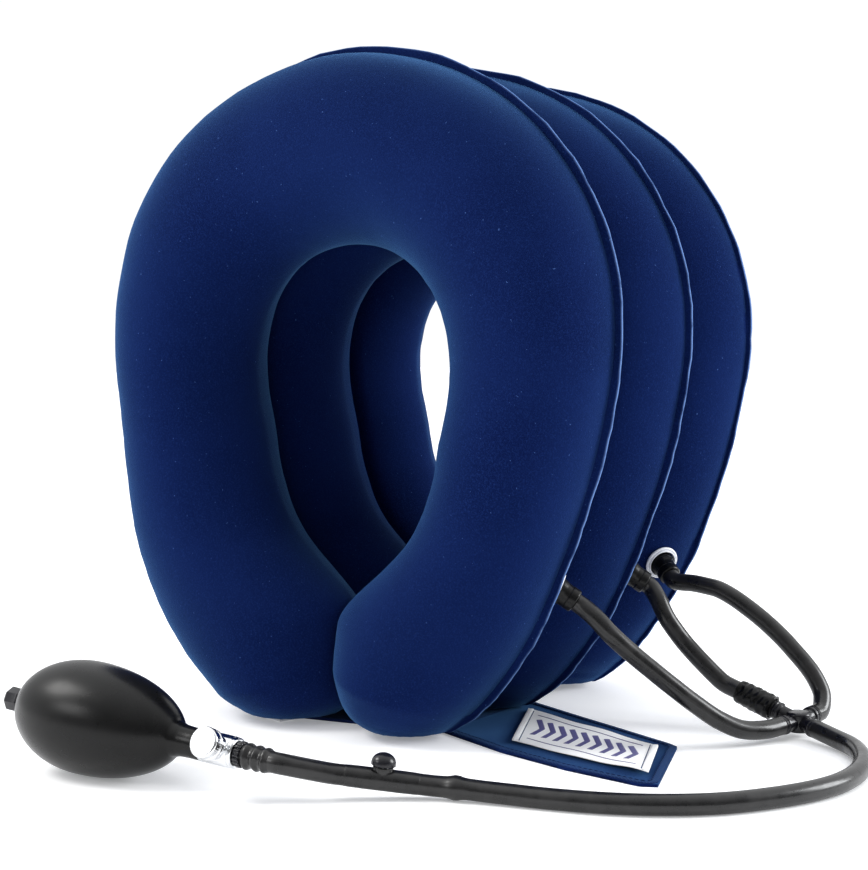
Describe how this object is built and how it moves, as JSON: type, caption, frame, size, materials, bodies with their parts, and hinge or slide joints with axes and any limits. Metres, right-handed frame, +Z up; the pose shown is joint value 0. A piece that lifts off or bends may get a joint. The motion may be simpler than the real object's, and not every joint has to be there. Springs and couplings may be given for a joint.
{
  "type": "inflatable neck traction collar",
  "caption": "Stacked horseshoe air cushions round a neck opening, with air ports, branch tubes, a hose, a squeeze bulb with a release valve and a closure strap.",
  "frame": {"origin": "on the floor under the middle tier, on the underside of the closure strap that the legs stand on", "axes": "+Z up; +Y along the stack of tiers, from the front tier to the rear one; +X towards the flank with the air ports"},
  "size_m": [0.3595, 0.318, 0.3006],
  "materials": {
    "navy_flock": "short velvet flock",
    "navy_webbing": "woven, matte",
    "white_label": "smooth satin weave",
    "black_rubber": "satin",
    "grey_tube": "semi-gloss",
    "black_plastic": "satin",
    "white_plastic": "gloss",
    "chrome": "polished"
  },
  "bodies": {
    "base": {"tier_1_front_panel": "navy_flock", "tier_1_rear_panel": "navy_flock", "tier_bond_1_2": "navy_webbing", "strap_root": "navy_webbing", "strap_hook_pad": "white_label", "manifold": "black_plastic", "manifold_sleeve": "black_rubber", "branch_tube_1": "grey_tube", "branch_tube_2": "grey_tube", "branch_tube_3": "grey_tube", "pump_hose": "grey_tube", "main_hose": "grey_tube", "squeeze_bulb": "black_rubber", "inlet_cap": "black_plastic", "release_valve_body": "chrome", "needle_seal": "black_rubber", "outlet_seat": "white_plastic", "hose_collar": "black_plastic", "hose_cuff": "grey_tube", "coupling_body": "black_plastic", "coupling_seal": "black_rubber", "coupling_spring": "chrome"},
    "tier_2": {"tier_2_front_panel": "navy_flock", "tier_2_rear_panel": "navy_flock", "tier_bond_2_3": "navy_webbing"},
    "tier_3": {"tier_3_front_panel": "navy_flock", "tier_3_rear_panel": "navy_flock"},
    "port_1": {"port_ring_1": "white_plastic", "port_stub_1": "black_rubber"},
    "port_2": {"port_ring_2": "white_plastic", "port_stub_2": "black_rubber"},
    "port_3": {"port_ring_3": "white_plastic", "port_stub_3": "black_rubber"},
    "strap_tab": {"strap_tab": "navy_webbing", "strap_label": "white_label"},
    "knob": {"release_knob": "chrome", "release_needle": "chrome"},
    "inlet_ball": {"inlet_ball": "chrome"},
    "outlet_disc": {"outlet_disc": "black_rubber"},
    "coupling_button": {"coupling_button": "black_plastic"}
  },
  "joints": [
    {"name": "tier_2_slide", "type": "slide", "parent": "base", "child": "tier_2", "axis": [0, 1, 0], "range_m": [-0.026, 0], "deforming": ["tier_1_front_panel", "tier_1_rear_panel", "tier_2_front_panel", "tier_2_rear_panel", "tier_3_front_panel", "tier_3_rear_panel", "tier_bond_1_2", "tier_bond_2_3", "branch_tube_1", "branch_tube_2", "branch_tube_3"]},
    {"name": "tier_3_slide", "type": "slide", "parent": "base", "child": "tier_3", "axis": [0, 1, 0], "range_m": [-0.0521, 0]},
    {"name": "port_1_slide", "type": "slide", "parent": "base", "child": "port_1", "axis": [0, 1, 0], "range_m": [-0.0045, 0]},
    {"name": "port_2_slide", "type": "slide", "parent": "base", "child": "port_2", "axis": [0, 1, 0], "range_m": [-0.0305, 0]},
    {"name": "port_3_slide", "type": "slide", "parent": "base", "child": "port_3", "axis": [0, 1, 0], "range_m": [-0.0453, 0]},
    {"name": "strap_lift", "type": "hinge", "parent": "base", "child": "strap_tab", "pos_m": [0.04415, -0.02, 0.0008], "axis": [0, -1, 0], "range_deg": [0, 10]},
    {"name": "knob_turn", "type": "hinge", "parent": "base", "child": "knob", "pos_m": [0.03106, -0.19088, 0.01696], "axis": [0.112, -0.9069, 0.4063], "range_deg": [0, 540]},
    {"name": "inlet_ball_slide", "type": "slide", "parent": "base", "child": "inlet_ball", "axis": [0.9928, 0.0846, -0.0849], "range_m": [0, 0.0028]},
    {"name": "outlet_disc_slide", "type": "slide", "parent": "base", "child": "outlet_disc", "axis": [0.9928, 0.0846, -0.0849], "range_m": [0, 0.0012]},
    {"name": "button_press", "type": "slide", "parent": "base", "child": "coupling_button", "axis": [0.1055, 0.0753, 0.9916], "range_m": [-0.0008, 0], "stiffness_N_per_m": 1500, "springref_m": 0.0004, "deforming": ["coupling_spring"]}
  ],
  "couplings": [
    {"joint": "tier_3_slide", "follows": "tier_2_slide", "ratio": 2},
    {"joint": "port_1_slide", "follows": "tier_2_slide", "ratio": 0.17012},
    {"joint": "port_2_slide", "follows": "tier_2_slide", "ratio": 1.1701},
    {"joint": "port_3_slide", "follows": "tier_2_slide", "ratio": 1.731}
  ]
}
